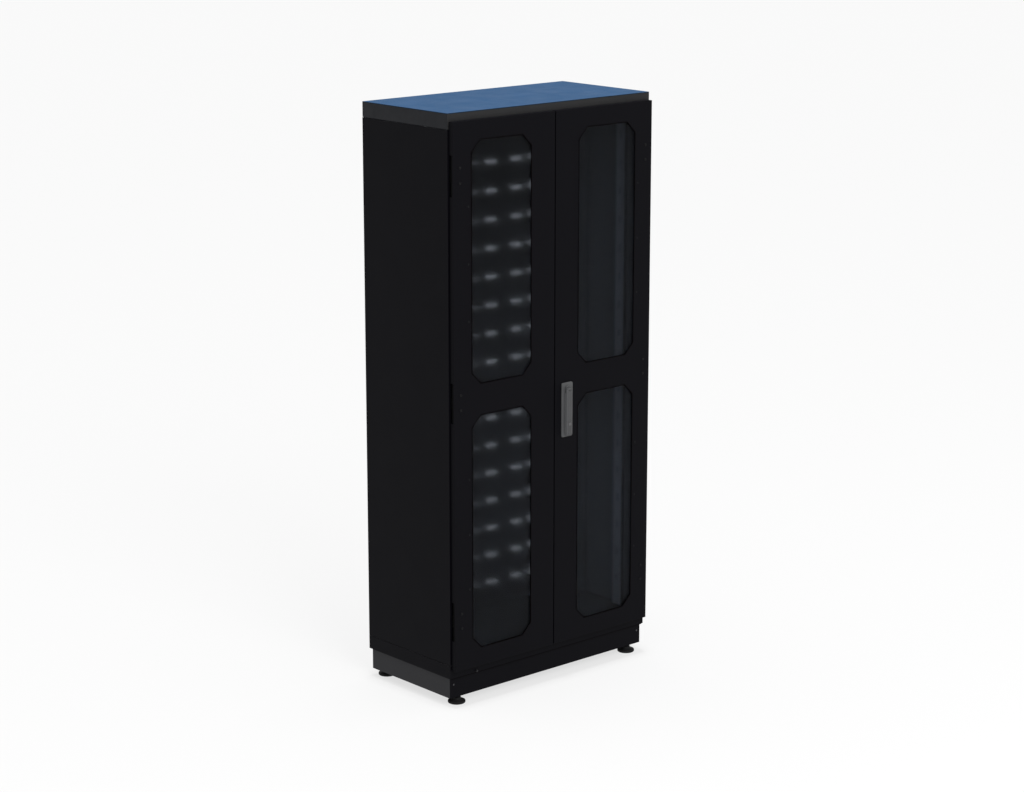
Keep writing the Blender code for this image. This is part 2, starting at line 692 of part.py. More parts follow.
def door_shell(name, side, holder):
    """A folded sheet tray with its open side to the carcass."""
    x_range = span(side, DOOR_INNER, DOOR_OUTER)
    shape = block(x_range, (DOOR_FRONT, DOOR_BACK), (DOOR_BOTTOM, DOOR_TOP))
    folds = [edge for edge in shape.edges if any(v.co.y < PIVOT_Y for v in edge.verts)]
    bmesh.ops.bevel(shape, geom=folds, offset=DOOR_EDGE_ROUND, segments=2, profile=0.5, affect="EDGES")
    shell = piece(name + "_door_shell", shape, holder, BLACK_PAINT)
    inside_x = span(side, DOOR_INNER + DOOR_SHEET, DOOR_OUTER - DOOR_SHEET)
    inside_z = (DOOR_BOTTOM + DOOR_SHEET, DOOR_TOP - DOOR_SHEET)
    cut(shell, holder, block(inside_x, (SKIN_BACK, DOOR_BACK + CUT_PAST), inside_z))
    window_x, levels = window_ranges(side)
    windows = bmesh.new()
    for z_range in levels.values():
        outline = chamfered(window_x, z_range, WINDOW_CHAMFER, 0)
        add_prism(windows, "Y", outline, DOOR_FRONT - CUT_PAST, SKIN_BACK + CUT_PAST)
    cut(shell, holder, windows)
    notches = bmesh.new()
    for level in HINGE_LEVELS.values():
        notch_x = span(side, DOOR_OUTER - 2 * DOOR_SHEET, DOOR_OUTER + CUT_PAST)
        notch_y = (DOOR_FRONT + HINGE_NOTCH_LIP, DOOR_BACK + 2 * CUT_PAST)
        add_block(notches, notch_x, notch_y, about(level, HINGE_HEIGHT + 2 * HINGE_NOTCH_MARGIN))
    cut(shell, holder, notches)
    return shell


def glazing(name, x_range, z_range, holder):
    """One window's seal, pane and retaining frame, from the door skin inwards."""
    pane_x = (x_range[0] - PANE_LAP, x_range[1] + PANE_LAP)
    pane_z = (z_range[0] - PANE_LAP, z_range[1] + PANE_LAP)
    seal_y = (SKIN_BACK + SEAT_GAP, SKIN_BACK + SEAT_GAP + SEAL_THICK)
    pane_y = (seal_y[1] + SEAT_GAP, seal_y[1] + SEAT_GAP + PANE_THICK)
    retainer_y = (pane_y[1] + SEAT_GAP, pane_y[1] + SEAT_GAP + RETAINER_THICK)
    piece(name + "_pane", block(pane_x, pane_y, pane_z), holder, FROSTED)
    frames = {"_seal": (seal_y, BLACK_RUBBER, SEAL_SETBACK),
              "_retainer": (retainer_y, BLACK_PAINT, RETAINER_SETBACK)}
    for kind, (y_range, finish, grow) in frames.items():
        frame = piece(name + kind, block(pane_x, y_range, pane_z), holder, finish)
        outline = chamfered(x_range, z_range, WINDOW_CHAMFER, grow)
        cut(frame, holder, prism("Y", outline, y_range[0] - CUT_PAST, y_range[1] + CUT_PAST))


def door(name, side, cabinet):
    hinge_line = Holder(name + "_door_hinge_line", (side * PIVOT_X, PIVOT_Y, 0), cabinet)
    shell = door_shell(name, side, hinge_line)
    window_x, levels = window_ranges(side)
    for place, z_range in levels.items():
        glazing(f"{name}_{place}", window_x, z_range, hinge_line)
    for place, level in HINGE_LEVELS.items():
        hinge_leaf(f"{name}_{place}", side, level, hinge_line)
    return hinge_line, shell


# Handle and lock of the right door


def spindle_hole(start, end):
    outline = circle((LOCK_X, SPINDLE_Z), SPINDLE_RADIUS + SPINDLE_PLAY, ROUND_SIDES)
    return prism("Y", outline, start, end)


def handle_housing(holder):
    z_range = (HANDLE_TOP - HOUSING_HEIGHT, HANDLE_TOP)
    outline = rounded_rectangle(about(LOCK_X, HOUSING_WIDTH), z_range, HOUSING_CORNER)
    shape = prism("Y", outline, HOUSING_FRONT, HOUSING_BACK)
    middle = (HOUSING_FRONT + HOUSING_BACK) / 2
    rim = [edge for edge in shape.edges if all(v.co.y < middle for v in edge.verts)]
    bmesh.ops.bevel(shape, geom=rim, offset=HOUSING_EDGE, segments=2, profile=0.5, affect="EDGES")
    housing = piece("handle_housing", shape, holder, HANDLE_GREY)
    cut(housing, holder, spindle_hole(HOUSING_FRONT - CUT_PAST, HOUSING_BACK + CUT_PAST))


def handle_spindle(holder):
    """The turning hub and shaft, with a tongue and cross pin that carry the lever."""
    profile = [(0, HUB_FRONT), (HUB_RADIUS, HUB_FRONT), (HUB_RADIUS, HUB_BACK)]
    profile += [(SPINDLE_RADIUS, HUB_BACK), (SPINDLE_RADIUS, CAM_BACK), (0, CAM_BACK)]
    shape = turned("Y", (LOCK_X, SPINDLE_Z), profile, ROUND_SIDES)
    spindle = piece("handle_spindle", shape, holder, HANDLE_GREY)
    outline = arc((SWING_Y, SPINDLE_Z), TONGUE_RADIUS, 90, 270, SMALL_ROUND_SIDES // 2)
    root = HUB_FRONT + HUB_THICK / 2
    outline += [(root, SPINDLE_Z - TONGUE_RADIUS), (root, SPINDLE_Z + TONGUE_RADIUS)]
    join(spindle, holder, prism("X", outline, *about(LOCK_X, TONGUE_WIDTH)))
    pin = circle((SWING_Y, SPINDLE_Z), LEVER_PIN_RADIUS, SMALL_ROUND_SIDES)
    join(spindle, holder, prism("X", pin, *about(LOCK_X, LEVER_WIDTH - 2 * LEVER_PIN_COVER)))


def lever_rounding(side):
    """What comes off a long front edge of the lever to round it."""
    edge = LOCK_X + side * LEVER_WIDTH / 2
    past = edge + side * CUT_PAST
    centre = (edge - side * LEVER_EDGE, LEVER_FRONT + LEVER_EDGE)
    outline = arc(centre, LEVER_EDGE, 270, 270 + side * 90, SMALL_ROUND_SIDES // 4)
    outline += [(past, centre[1]), (past, LEVER_FRONT - CUT_PAST), (centre[0], LEVER_FRONT - CUT_PAST)]
    return prism("Z", outline, SPINDLE_Z - LEVER_LENGTH - CUT_PAST, SPINDLE_Z + LEVER_HEAD_THICK)


def handle_lever(holder):
    """The lever: round at the swing pin, stepped back over the housing below the hub."""
    bottom = SPINDLE_Z - LEVER_LENGTH
    step = SPINDLE_Z - HUB_RADIUS - LEVER_STEP_CLEARANCE
    outline = arc((SWING_Y, SPINDLE_Z), LEVER_HEAD_THICK / 2, 0, 180, SMALL_ROUND_SIDES // 2)
    outline += [(LEVER_FRONT, bottom + LEVER_NOSE), (LEVER_FRONT + LEVER_NOSE, bottom), (LEVER_BACK, bottom)]
    outline += [(LEVER_BACK, step), (LEVER_HEAD_BACK, step)]
    x_range = about(LOCK_X, LEVER_WIDTH)
    lever = piece("handle_lever", prism("X", outline, *x_range), holder, HANDLE_GREY)
    for side in (-1, 1):
        cut(lever, holder, lever_rounding(side))
    fork_floor = SPINDLE_Z - TONGUE_RADIUS - LEVER_PLAY
    fork_top = SPINDLE_Z + LEVER_HEAD_THICK
    fork_x = about(LOCK_X, TONGUE_WIDTH + 2 * LEVER_PLAY)
    through = (LEVER_FRONT - CUT_PAST, LEVER_BACK + CUT_PAST)
    cut(lever, holder, block(fork_x, through, (fork_floor, fork_top)))
    pin_hole = circle((SWING_Y, SPINDLE_Z), LEVER_PIN_RADIUS + PIN_PLAY, SMALL_ROUND_SIDES)
    cut(lever, holder, prism("X", pin_hole, x_range[0] - CUT_PAST, x_range[1] + CUT_PAST))
    key_hole = circle((LOCK_X, KEY_Z), KEY_RADIUS + SPINDLE_PLAY, ROUND_SIDES)
    cut(lever, holder, prism("Y", key_hole, *through))


def key_cylinder(holder):
    front = LEVER_FRONT - KEY_PROUD
    outline = circle((LOCK_X, KEY_Z), KEY_RADIUS, ROUND_SIDES)
    shape = prism("Y", outline, front, front + KEY_LENGTH)
    cylinder = piece("key_cylinder", shape, holder, BRIGHT_STEEL)
    keyway_y = (front - CUT_PAST, front + KEYWAY_DEPTH)
    cut(cylinder, holder, block(about(LOCK_X, KEYWAY_WIDTH), keyway_y, about(KEY_Z, KEYWAY_HEIGHT)))


def lock_case(holder):
    shape = block(about(LOCK_X, CASE_WIDTH), (CASE_FRONT, CASE_BACK), about(SPINDLE_Z, CASE_HEIGHT))
    case = piece("lock_case", shape, holder, ZINC)
    cut(case, holder, spindle_hole(CASE_FRONT - CUT_PAST, CASE_BACK + CUT_PAST))


def lock_cam(holder):
    """A disc on the spindle with one crank pin for each rod."""
    shape = prism("Y", circle((LOCK_X, SPINDLE_Z), CAM_RADIUS, ROUND_SIDES), CAM_FRONT, CAM_BACK)
    cam = piece("lock_cam", shape, holder, ZINC)
    cut(cam, holder, spindle_hole(CAM_FRONT - CUT_PAST, CAM_BACK + CUT_PAST))
    for up in SIDES.values():
        centre = (LOCK_X - up * CRANK_RISE, SPINDLE_Z + up * CRANK_RISE)
        outline = circle(centre, CRANK_PIN_RADIUS, SMALL_ROUND_SIDES)
        join(cam, holder, prism("Y", outline, CAM_FRONT + CAM_THICK / 2, ROD_BACK + CRANK_PIN_PROUD))


def lock_rod(name, up, x, holder):
    """A flat rod from the cam to the roof or the floor, with a cross slot for its crank pin."""
    pin_z = SPINDLE_Z + up * CRANK_RISE
    tip = ROD_TOP if up > 0 else ROD_BOTTOM
    z_range = sorted((pin_z - up * ROD_TAIL, tip))
    rod = piece(name + "_lock_rod", block(about(x, ROD_WIDTH), (ROD_FRONT, ROD_BACK), z_range), holder, ZINC)
    reach = CRANK_PIN_RADIUS + CRANK_PIN_PLAY
    slot_y = (ROD_FRONT - CUT_PAST, ROD_BACK + CUT_PAST)
    cut(rod, holder, block(about(x, 2 * (CRANK_SWAY + reach)), slot_y, about(pin_z, 2 * reach)))


def slide_guide(name, x, level, holder):
    """A block on the door skin that a rod or bolt slides through."""
    x_range = about(x, ROD_WIDTH + 2 * GUIDE_WALL)
    y_range = (SKIN_BACK + SEAT_GAP, ROD_BACK + GUIDE_BACK_WALL)
    guide = piece(name, block(x_range, y_range, about(level, GUIDE_HEIGHT)), holder, BLACK_PLASTIC)
    hole_y = (ROD_FRONT - GUIDE_PLAY, ROD_BACK + GUIDE_PLAY)
    hole_z = about(level, GUIDE_HEIGHT + 2 * CUT_PAST)
    cut(guide, holder, block(about(x, ROD_WIDTH + 2 * GUIDE_PLAY), hole_y, hole_z))


def right_door_lock(shell, hinge_line):
    cut(shell, hinge_line, spindle_hole(DOOR_FRONT - CUT_PAST, SKIN_BACK + CUT_PAST))
    handle_housing(hinge_line)
    lock_case(hinge_line)
    turn = Holder("handle_turn_axis", (LOCK_X, HUB_FRONT, SPINDLE_Z), hinge_line)
    handle_spindle(turn)
    lock_cam(turn)
    swing = Holder("lever_swing_axis", (LOCK_X, SWING_Y, SPINDLE_Z), turn)
    handle_lever(swing)
    key_cylinder(Holder("key_axis", (LOCK_X, LEVER_FRONT, KEY_Z), swing))
    for name, up, x, tip in (("upper", 1, UPPER_ROD_X, ROD_TOP), ("lower", -1, LOWER_ROD_X, ROD_BOTTOM)):
        lock_rod(name, up, x, Holder(name + "_rod_line", (x, ROD_FRONT, tip), hinge_line))
        slide_guide(name + "_rod_guide", x, tip - up * ROD_GUIDE_INSET, hinge_line)


# Hand bolts of the left door


def hand_bolt(name, up, tip, holder):
    tail = tip - up * BOLT_LENGTH
    shape = block(about(BOLT_X, ROD_WIDTH), (ROD_FRONT, ROD_BACK), sorted((tip, tail)))
    bolt = piece(name + "_bolt", shape, holder, ZINC)
    tab_y = ((ROD_FRONT + ROD_BACK) / 2, ROD_BACK + BOLT_TAB_REACH)
    tab_z = sorted((tail + up * SEAT_GAP, tail + up * (SEAT_GAP + BOLT_TAB_HEIGHT)))
    join(bolt, holder, block(about(BOLT_X, ROD_WIDTH - 2 * SEAT_GAP), tab_y, tab_z))


def left_door_bolts(hinge_line):
    for name, up, tip in (("upper", 1, ROD_TOP), ("lower", -1, ROD_BOTTOM)):
        hand_bolt(name, up, tip, Holder(name + "_bolt_line", (BOLT_X, ROD_FRONT, tip), hinge_line))
        slide_guide(name + "_bolt_guide", BOLT_X, tip - up * BOLT_GUIDE_INSET, hinge_line)


def build():
    clear_scene()
    cabinet = Holder("cabinet", (0, 0, 0))
    top(cabinet)
    roof_panel(cabinet)
    back_panel(cabinet)
    base_tray(cabinet)
    earth_stud(cabinet)
    plinth_end("front", PLINTH_FRONT, 1, cabinet)
    plinth_end("back", PLINTH_BACK, -1, cabinet)
    for name, side in SIDES.items():
        side_panel(name, side, cabinet)
        plinth_side(name, side, cabinet)
        upright(name + "_front_upright", side, UPRIGHT_FRONT, cabinet)
        upright(name + "_rear_upright", side, UPRIGHT_FRONT + UPRIGHT_SPACING, cabinet)
        for place, level in HINGE_LEVELS.items():
            hinge_bracket(f"{name}_{place}", side, level, cabinet)
        for place, point in foot_places(side).items():
            foot(f"{name}_{place}_foot", point, cabinet)
    left_hinge_line, _ = door("left", SIDES["left"], cabinet)
    left_door_bolts(left_hinge_line)
    right_hinge_line, right_shell = door("right", SIDES["right"], cabinet)
    right_door_lock(right_shell, right_hinge_line)


build()
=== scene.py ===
"""Looks of an anti-static storage cabinet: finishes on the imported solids, small fittings, studio and camera.

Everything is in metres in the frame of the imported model: z is up, the doors face -y, +x is to their right.
"""

import json
import math

import bmesh
import bpy
from mathutils import Matrix, Vector


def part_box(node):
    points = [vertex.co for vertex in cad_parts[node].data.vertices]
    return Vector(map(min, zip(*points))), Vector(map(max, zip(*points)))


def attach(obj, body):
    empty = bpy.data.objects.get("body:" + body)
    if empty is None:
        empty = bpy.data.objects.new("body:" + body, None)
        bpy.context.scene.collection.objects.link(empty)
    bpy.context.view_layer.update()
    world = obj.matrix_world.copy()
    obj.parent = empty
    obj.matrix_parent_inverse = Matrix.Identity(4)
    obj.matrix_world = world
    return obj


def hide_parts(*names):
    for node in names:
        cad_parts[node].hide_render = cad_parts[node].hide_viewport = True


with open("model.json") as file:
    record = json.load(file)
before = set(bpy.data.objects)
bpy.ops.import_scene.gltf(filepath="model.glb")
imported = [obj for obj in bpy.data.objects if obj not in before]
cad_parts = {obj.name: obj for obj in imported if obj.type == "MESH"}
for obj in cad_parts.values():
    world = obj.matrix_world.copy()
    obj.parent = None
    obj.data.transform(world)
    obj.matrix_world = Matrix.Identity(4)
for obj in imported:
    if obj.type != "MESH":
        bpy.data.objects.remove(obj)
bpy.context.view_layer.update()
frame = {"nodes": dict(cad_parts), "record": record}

# Camera and studio
CAMERA_PLACE = (-5.6747, -6.4023, 3.0109)
CAMERA_AZIMUTH = -41.559
CAMERA_ELEVATION = 13.414
CAMERA_LENS = 89.86
CAMERA_SENSOR = 36.0
CAMERA_REACH = 500
FLOOR_HALF = 90.0
FLOOR_TONE = (0.16, 0.16, 0.16, 1)
FLOOR_ROUGHNESS = 0.9
FLOOR_GLOW = 0.676
WHITE = (1, 1, 1, 1)
WORLD_STRENGTH = 0.95
KEY_POWER = 350
KEY_SIZE = 4.0
KEY_PLACE = (-1.6, -6.5, 5.4)
KEY_AIM = (0, 0, 1)
OVERHEAD_STRENGTH = 2.4
OVERHEAD_SPREAD = math.radians(3)
OVERHEAD_PLACE = (0, 0, 6)
OVERHEAD_AIM = (0, 0, 0)

# Colours of the finishes, linear
BLACK = (0.0021, 0.0020, 0.0031)
GREY = (0.0203, 0.0203, 0.0222)
# Grey interior paint, which the shares below lighten and darken as painted light and shade
INSIDE = (0.0735, 0.0735, 0.0772)
EDGE = (0.0134, 0.0134, 0.0140)
# Darker, bluer colour of the board's ends: painted shade
EDGE_END_SHADE = (0.0030, 0.0036, 0.0056)
BLUE = (0.0160, 0.0542, 0.1236)
GLASS = (0.30, 0.33, 0.375)
# Near-black of the window beads and seam strips: the beads' own rubber, darkened to paint shade along the
# window edges; painted shade only in the seam strips
BEAD_AND_SHADE_BLACK = (0.0012, 0.0006, 0.0009)
SEAL = (0.0062, 0.0058, 0.0064)
HANDLE = (0.0525, 0.0535, 0.0555)
LEVER = (0.0430, 0.0438, 0.0455)
PLASTIC = (0.0090, 0.0090, 0.0095)
OXIDE = (0.0060, 0.0060, 0.0066)
HINGE = (0.0018, 0.0018, 0.0020)
ZINC = (0.50, 0.51, 0.53)
STEEL = (0.16, 0.16, 0.165)
DULL = (0.040, 0.040, 0.042)
DARK_ZINC = (0.082, 0.082, 0.085)

# Shares of the inside colour at the floor and at the roof of the cabinet, and on the uprights' other faces:
# painted light and shade, mostly lighter low down, far lighter on the side panels and uprights than on the
# back panel, and darker on the uprights' faces that do not look along x
INSIDE_LIGHT_SHARES = {"back_panel": (1.45, 0.62), "side_panel": (4.1, 2.7), "base_tray": (1.6, 1.6)}
UPRIGHT_LIGHT_SHARES = {"front_upright": (10.2, 6.0), "rear_upright": (3.8, 2.4)}
UPRIGHT_SHADE_SHARE = 1.3

# The space inside: half its width, then its front, back, floor and roof, in metres
INSIDE_REACH = (0.4494, -0.1976, 0.2362, 0.1455, 1.9478)

# Other values of the finishes
PAINT_SHEEN = 0.043
GREY_SHEEN = 0.10
EDGE_SHEEN = 0.165
MAT_SHEEN = 0.06
RUBBER_SHEEN = 0.02
# How much lighter the lever's faces along x are: painted light
LEVER_FLANK_LIGHT = 2.3
GLASS_CLARITY = 0.998
GLASS_IOR = 1.12
NOISE_SPAN = (0.3, 0.7)
FACING_SPAN = (0.5, 0.95)
EVEN = (1, 1, 1)
DRAWN_UP = (1, 1, 0.05)
DRAWN_ALONG = (0.04, 0.04, 1)

# Sockets of the colour mix node
MIX_SHARE, MIX_FIRST, MIX_SECOND, MIX_RESULT = 0, 6, 7, 2

# Places of the fittings, in metres
HINGE_PLACES = ("upper", "middle", "lower")
HINGE_SCREW_INSET = 0.0134
HINGE_SCREW_SPREAD = 0.025
HINGE_LEAF_DEPTH = 0.0035
HINGE_KNUCKLE = 0.0045
GLAZING_INSET = 0.0055
WINDOW_LAP = 0.020
WINDOW_CHAMFER = 0.038
GLAZING_SPREAD = 0.189
PLINTH_SCREW_INSET = 0.0155
PLINTH_SCREW_RISE = 0.047
# Near-black strips that paint shade into the seams of the base
STRIP_HEIGHT = 0.0023
STRIP_WIDTH = 0.004
STRIP_SETBACK = 0.0006
STRIP_PLAY = 0.0001
STRIP_EASE = 0.0003
BACK_RIVET_INSET = 0.0075
BACK_RIVET_ROWS = 10
BACK_RIVET_COLUMNS = 5
UPRIGHT_SCREW_RISES = (0.050, 0.650, 1.150, 1.750)
CASE_SCREW_SPREAD = (0.0195, 0.0295)
GUIDE_SCREW_SPREAD = 0.0105
BUMPER_SPREAD = 0.0065
BUMPER_INSET = 0.010

# Meshes
MILLIMETRE = 0.001
RING_POINTS = 24
SCREW_TURN = 2.39996
SMOOTH_ANGLE = math.radians(32)
FRONT = (0, -1, 0)
BACK = (0, 1, 0)
UP = (0, 0, 1)
DOWN = (0, 0, -1)
SIDES = {"left": -1, "right": 1}

# Fittings, each a stack of rings: radius and height in millimetres, then the corners where the ring is a
# polygon, then 1 where it is ribbed
BUTTON_SCREW = [(4.6, 0), (4.75, 0.2), (4.6, 0.9), (4.0, 1.7), (3.0, 2.3), (2.3, 2.5)]
BUTTON_SCREW += [(1.75, 2.5, 6), (1.7, 2.3, 6), (1.7, 1.0, 6)]
PAN_SCREW = [(3.3, 0), (3.4, 0.15), (3.3, 0.7), (2.8, 1.3), (2.0, 1.7), (1.5, 1.8)]
PAN_SCREW += [(1.25, 1.8, 6), (1.2, 0.7, 6)]
SMALL_SCREW = [(2.4, 0), (2.5, 0.15), (2.4, 0.6), (2.0, 1.1), (1.5, 1.3), (1.1, 1.3, 6), (1.05, 0.5, 6)]
RIVET = [(3.1, 0), (3.2, 0.15), (3.0, 0.55), (2.4, 0.95), (1.6, 1.15), (1.3, 1.15), (1.15, 0.8), (0.9, 0.7)]
NUT = [(4.2, 0), (4.2, 0.6), (3.7, 0.6), (3.95, 0.8, 6), (4.0, 1.1, 6), (4.0, 2.9, 6), (3.5, 3.3)]
NUT += [(2.2, 3.3), (1.9, 3.1), (1.95, 3.3), (1.75, 3.6), (1.95, 3.9), (1.75, 4.2), (1.4, 4.4)]
PIN_CAP = [(3.5, 0), (3.6, 0.2), (3.5, 0.8), (2.9, 1.2), (1.8, 1.4)]
BUMPER = [(4.8, 0), (5.0, 0.4), (4.8, 1.2), (4.1, 1.8), (2.8, 2.1), (1.4, 2.2)]

# Section of the bead on a window's edge, in millimetres: outwards from the edge, and out from the door
BEAD = [(2.4, 0.05), (2.35, 0.4), (1.7, 0.8), (0.3, 0.95), (-0.6, 0.75), (-1.0, 0.2)]
BEAD += [(-1.1, -1.1), (-0.8, -1.35), (-0.15, -1.35), (-0.1, 0.05)]

# Levelling foot: the ribbed pad with its neck, and the nut on the threaded stem
PAD_POINTS = 72
PAD_RIBS = 24
PAD_RIB_DEPTH = 0.022
PAD = [(23.5, 0.7), (25.5, 0.7), (26.2, 0), (28.4, 0), (29.4, 0.9, 0, 1), (30, 1.7, 0, 1), (30, 7.0, 0, 1)]
PAD += [(29.3, 7.9, 0, 1), (28, 8.5), (26, 8.9), (19, 11.6), (16.2, 13.2), (15.0, 14.6), (14.6, 16.0)]
PAD += [(14.5, 19.6), (14.1, 20.2)]
STEM_NUT = [(9.6, 20.4), (11.2, 20.6), (12.3, 21.2, 6), (12.4, 21.5, 6), (12.4, 26.9, 6), (12.3, 27.2, 6)]
STEM_NUT += [(11.2, 27.6), (5.0, 27.6)]
STEM_START = 28.0
STEM_END = 62.0
STEM_PITCH = 1.5
STEM_CREST = 4.9
STEM_ROOT = 4.2


# Node helpers


class Finish:
    """One material, with short calls that add nodes in front of its shader."""

    def __init__(self, name):
        self.material = bpy.data.materials.new(name)
        self.material.use_nodes = True
        self.tree = self.material.node_tree
        self.shader = self.tree.nodes["Principled BSDF"]

    def put(self, socket, value):
        if isinstance(value, bpy.types.NodeSocket):
            self.tree.links.new(value, socket)
        else:
            socket.default_value = value

    def set(self, **values):
        for key, value in values.items():
            self.put(self.shader.inputs[key.replace("_", " ")], value)

    def add(self, kind, inputs, **settings):
        node = self.tree.nodes.new("ShaderNode" + kind)
        for key, value in settings.items():
            setattr(node, key, value)
        for key, value in inputs.items():
            self.put(node.inputs[key], value)
        return node

    def place(self, stretch):
        where = self.add("TexCoord", {}).outputs["Object"]
        return self.add("Mapping", {"Vector": where, "Scale": stretch}).outputs["Vector"]

    def noise(self, per_metre, detail, stretch=EVEN):
        inputs = {"Vector": self.place(stretch), "Scale": per_metre, "Detail": detail}
        return self.add("TexNoise", inputs).outputs["Fac"]

    def cells(self, per_metre):
        inputs = {"Vector": self.place(EVEN), "Scale": per_metre}
        return self.add("TexVoronoi", inputs).outputs["Distance"]

    def spread(self, value, span, to):
        """Maps a span of values to another."""
        inputs = {"Value": value, "From Min": span[0], "From Max": span[1], "To Min": to[0], "To Max": to[1]}
        return self.add("MapRange", inputs).outputs["Result"]

    def times(self, first, second):
        return self.add("Math", {0: first, 1: second}, operation="MULTIPLY").outputs["Value"]

    def mix(self, share, first, second):
        inputs = {MIX_SHARE: share}
        for socket, value in ((MIX_FIRST, first), (MIX_SECOND, second)):
            inputs[socket] = value if isinstance(value, bpy.types.NodeSocket) else (*value, 1)
        return self.add("Mix", inputs, data_type="RGBA").outputs[MIX_RESULT]

    def facing(self, axis):
        """1 on the faces that look along an axis, either way."""
        normal = self.add("TexCoord", {}).outputs["Normal"]
        part = self.add("SeparateXYZ", {"Vector": normal}).outputs[axis]
        size = self.add("Math", {0: part}, operation="ABSOLUTE").outputs["Value"]
        return self.spread(size, FACING_SPAN, to=(0, 1))

    def inside(self):
        """1 in the space inside the cabinet, 0 outside it."""
        half, front, back, low, high = INSIDE_REACH
        where = self.add("SeparateXYZ", {"Vector": self.add("TexCoord", {}).outputs["Object"]})
        across = self.add("Math", {0: where.outputs["X"]}, operation="ABSOLUTE").outputs["Value"]
        tests = [(across, half, "LESS_THAN"), (where.outputs["Y"], front, "GREATER_THAN")]
        tests += [(where.outputs["Y"], back, "LESS_THAN"), (where.outputs["Z"], low, "GREATER_THAN")]
        tests += [(where.outputs["Z"], high, "LESS_THAN")]
        share = 1.0
        for value, limit, test in tests:
            share = self.times(self.add("Math", {0: value, 1: limit}, operation=test).outputs["Value"], share)
        return share

    def height(self):
        """0 at the floor of the cabinet, 1 at its roof."""
        where = self.add("SeparateXYZ", {"Vector": self.add("TexCoord", {}).outputs["Object"]})
        return self.spread(where.outputs["Z"], INSIDE_REACH[-2:], to=(0, 1))

    def bump(self, height, strength, distance):
        inputs = {"Height": height, "Strength": strength, "Distance": distance}
        return self.add("Bump", inputs).outputs["Normal"]


def shade(colour, factor):
    return tuple(channel * factor for channel in colour)


# Finishes


def powder_coat(name, colour, sheen, light_shares=None, shade_share=None):
    """Fine-grained powder coat: orange peel, faint clouding, flecks, and dust on level faces.

    With shares it has the inside colour within the cabinet, times one share at the floor and another at the
    roof, and with a share for the rest, that share on all faces but those that look along x. These shares
    paint light and shade onto the inside colour. It then has no dust.
    """
    finish = Finish(name)
    base = colour
    if light_shares:
        # Painted light and shade on the inside colour, by height and by facing
        lining_and_light = finish.mix(finish.height(), *(shade(INSIDE, share) for share in light_shares))
        if shade_share:
            lining_and_light = finish.mix(finish.facing("X"), shade(INSIDE, shade_share), lining_and_light)
        base = finish.mix(finish.inside(), colour, lining_and_light)
    clouds = finish.spread(finish.noise(per_metre=2.4, detail=3), (0.32, 0.68), to=(0, 0.05))
    tone = finish.mix(clouds, base, (0, 0, 0))
    flecks = finish.spread(finish.noise(per_metre=1500, detail=1), (0.60, 0.72), to=(0, 0.4))
    tone = finish.mix(flecks, tone, shade(colour, 2.0))
    if not light_shares:
        dust = finish.spread(finish.noise(per_metre=40, detail=5), (0.35, 0.75), to=(0.05, 0.30))
        tone = finish.mix(finish.times(finish.facing("Z"), dust), tone, shade(colour, 2.5))
    roughness = finish.spread(finish.noise(per_metre=9, detail=4), NOISE_SPAN, to=(0.50, 0.54))
    normal = finish.bump(finish.noise(per_metre=520, detail=2), strength=0.25, distance=0.0003)
    finish.set(Base_Color=tone, Roughness=roughness, Normal=normal, Specular_IOR_Level=sheen)
    return finish.material


def edge_band(name):
    """Satin edge band of a laminated board, with faint streaks along it and painted shade on its ends."""
    finish = Finish(name)
    streaks = finish.spread(finish.noise(per_metre=260, detail=3, stretch=DRAWN_ALONG), NOISE_SPAN, to=(0, 1))
    tone = finish.mix(streaks, shade(EDGE, 0.88), shade(EDGE, 1.10))
    # Painted shade: the ends, which look along x, get a darker, bluer colour
    tone = finish.mix(finish.facing("X"), tone, EDGE_END_SHADE)
    roughness = finish.spread(finish.noise(per_metre=30, detail=3), NOISE_SPAN, to=(0.42, 0.56))
    normal = finish.bump(finish.noise(per_metre=700, detail=2), strength=0.15, distance=0.0002)
    finish.set(Base_Color=tone, Roughness=roughness, Normal=normal, Specular_IOR_Level=EDGE_SHEEN)
    return finish.material


def mat_sheet(name):
    """Dissipative mat: mottled blue with a fine embossed grain."""
    finish = Finish(name)
    mottle = finish.spread(finish.noise(per_metre=140, detail=4), (0.35, 0.65), to=(0, 1))
    tone = finish.mix(mottle, shade(BLUE, 0.93), shade(BLUE, 1.06))
    flecks = finish.spread(finish.cells(per_metre=900), (0.0, 0.28), to=(0.35, 0))
    tone = finish.mix(flecks, tone, shade(BLUE, 1.5))
    wear = finish.spread(finish.noise(per_metre=5, detail=5), (0.45, 0.75), to=(0, 0.16))
    tone = finish.mix(wear, tone, shade(BLUE, 1.6))
    tone = finish.mix(finish.facing("Z"), shade(BLUE, 0.2), tone)
    roughness = finish.spread(finish.noise(per_metre=12, detail=4), NOISE_SPAN, to=(0.60, 0.74))
    normal = finish.bump(finish.cells(per_metre=1300), strength=0.30, distance=0.0003)
    finish.set(Base_Color=tone, Roughness=roughness, Normal=normal, Specular_IOR_Level=MAT_SHEEN)
    return finish.material


def frosted(name):
    """Frosted, faintly blue pane: rough all through, a little more in some places than in others."""
    finish = Finish(name)
    roughness = finish.spread(finish.noise(per_metre=60, detail=3), NOISE_SPAN, to=(0.235, 0.255))
    finish.set(Base_Color=(*GLASS, 1), Roughness=roughness)
    finish.set(Transmission_Weight=GLASS_CLARITY, IOR=GLASS_IOR)
    return finish.material


def rubber(name, colour):
    """Dull rubber with a pale bloom and a fine grain."""
    finish = Finish(name)
    bloom = finish.spread(finish.noise(per_metre=70, detail=4), (0.4, 0.8), to=(0, 0.5))
    tone = finish.mix(bloom, colour, shade(colour, 1.7))
    roughness = finish.spread(finish.noise(per_metre=200, detail=2), NOISE_SPAN, to=(0.66, 0.82))
    normal = finish.bump(finish.noise(per_metre=900, detail=2), strength=0.25, distance=0.0003)
    finish.set(Base_Color=tone, Roughness=roughness, Normal=normal, Specular_IOR_Level=RUBBER_SHEEN)
    return finish.material


